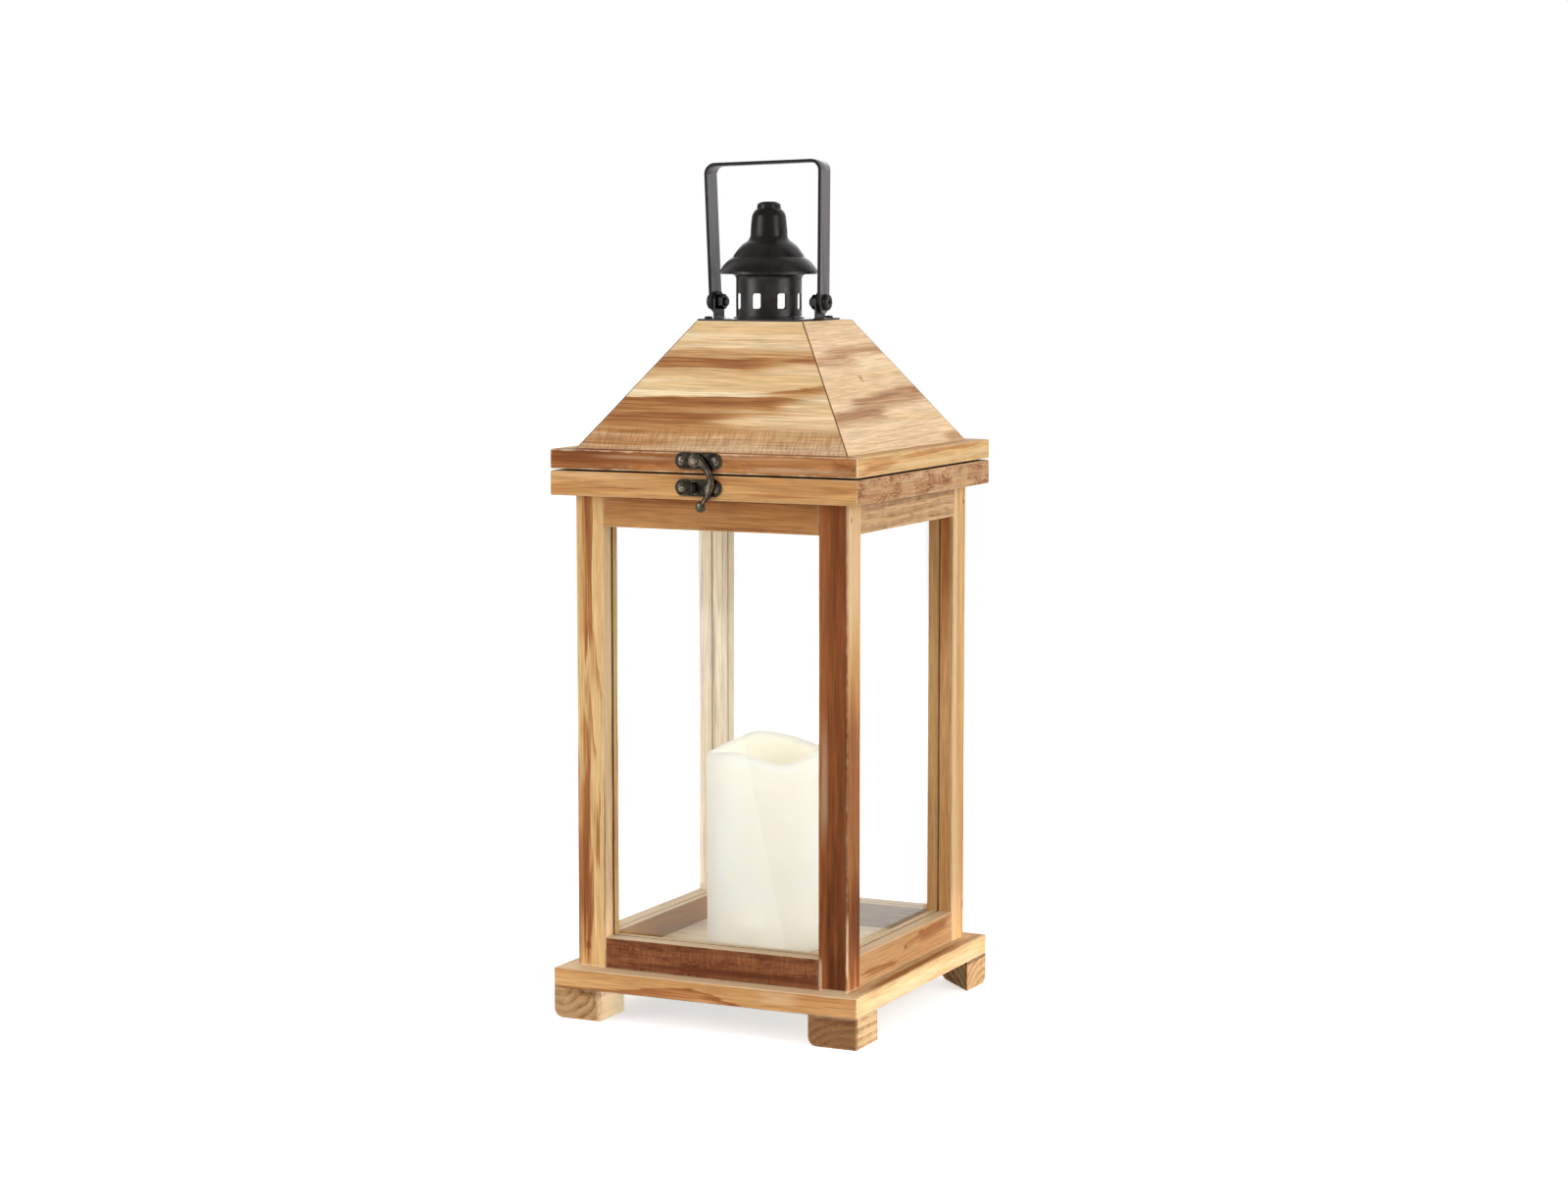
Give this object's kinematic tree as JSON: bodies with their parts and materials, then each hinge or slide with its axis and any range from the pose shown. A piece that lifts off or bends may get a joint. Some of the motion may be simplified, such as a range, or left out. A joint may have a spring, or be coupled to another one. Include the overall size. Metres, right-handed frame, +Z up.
{
  "type": "hanging lantern",
  "caption": "Wooden lantern with glass sides, a hinged pyramid roof, a vented metal cap, a swinging bail handle, a front hook latch and a battery pillar candle inside.",
  "frame": {"origin": "on the ground under the middle of the body", "axes": "+Z up, -Y towards the latch side (front), +X to the right seen from the front"},
  "size_m": [0.203, 0.2134, 0.5228],
  "materials": {
    "foot_wood": "worn pine, end grain showing",
    "post_wood": "scorched and waxed pine",
    "frame_wood": "scorched and waxed pine",
    "rail_wood": "scorched and waxed pine",
    "roof_wood": "scorched pine with rough saw marks",
    "floor_board": "plain pale board",
    "pane_glass": "clear float glass",
    "black_metal": "satin black-brown paint",
    "antique_bronze": "antique bronze plating",
    "candle_wax": "ivory wax",
    "box_plastic": "moulded ivory plastic",
    "switch_plastic": "moulded black plastic",
    "cell_jacket": "plain dark jacket",
    "contact_steel": "nickel plated strip",
    "lamp_lens": "warm diffused lens"
  },
  "bodies": {
    "lantern_body": {"foot_front_left": "foot_wood", "foot_front_right": "foot_wood", "foot_rear_right": "foot_wood", "foot_rear_left": "foot_wood", "base_rail_front": "frame_wood", "base_rail_right": "frame_wood", "base_rail_rear": "frame_wood", "base_rail_left": "frame_wood", "floor_panel": "floor_board", "post_front_left": "post_wood", "post_front_right": "post_wood", "post_rear_right": "post_wood", "post_rear_left": "post_wood", "bottom_rail_front": "rail_wood", "bottom_rail_right": "rail_wood", "bottom_rail_rear": "rail_wood", "bottom_rail_left": "rail_wood", "top_rail_front": "rail_wood", "top_rail_right": "rail_wood", "top_rail_rear": "rail_wood", "top_rail_left": "rail_wood", "glass_front": "pane_glass", "glass_right": "pane_glass", "glass_rear": "pane_glass", "glass_left": "pane_glass", "collar_rail_front": "frame_wood", "collar_rail_right": "frame_wood", "collar_rail_rear": "frame_wood", "collar_rail_left": "frame_wood", "keeper_plate": "antique_bronze", "hinge_body_leaves": "antique_bronze", "hinge_pins": "antique_bronze", "body_screws": "antique_bronze"},
    "lid": {"lid_rail_front": "frame_wood", "lid_rail_right": "frame_wood", "lid_rail_rear": "frame_wood", "lid_rail_left": "frame_wood", "roof_board_front": "roof_wood", "roof_board_right": "roof_wood", "roof_board_rear": "roof_wood", "roof_board_left": "roof_wood", "cap_plate": "black_metal", "cap_screws": "black_metal", "chimney": "black_metal", "chimney_cap": "black_metal", "bail_bolts": "black_metal", "bail_nuts": "black_metal", "latch_plate": "antique_bronze", "latch_rivet": "antique_bronze", "hinge_lid_leaves": "antique_bronze", "lid_screws": "antique_bronze"},
    "bail": {"bail_handle": "black_metal"},
    "hook": {"latch_hook": "antique_bronze"},
    "candle": {"candle_wax": "candle_wax", "battery_box": "box_plastic", "battery_door": "box_plastic", "battery_cells": "cell_jacket", "battery_contacts": "contact_steel", "lamp": "lamp_lens"},
    "switch": {"candle_switch": "switch_plastic"}
  },
  "joints": [
    {"name": "lid_hinge", "type": "hinge", "parent": "lantern_body", "child": "lid", "pos_m": [0, 0.1039, 0.3365], "axis": [-1, 0, 0], "range_deg": [0, 180]},
    {"name": "bail_swing", "type": "hinge", "parent": "lid", "child": "bail", "pos_m": [-0.0025, -0.003, 0.4362], "axis": [1, 0, 0], "range_deg": [-95, 95]},
    {"name": "hook_swing", "type": "hinge", "parent": "lid", "child": "hook", "pos_m": [-0.0025, -0.10465, 0.3444], "axis": [0, -1, 0], "range_deg": [-13, 95]},
    {"name": "candle_lift", "type": "slide", "parent": "lantern_body", "child": "candle", "axis": [0, 0, 1], "range_m": [0, 0.11]},
    {"name": "switch_slide", "type": "slide", "parent": "candle", "child": "switch", "axis": [1, 0, 0], "range_m": [0, 0.004]}
  ]
}
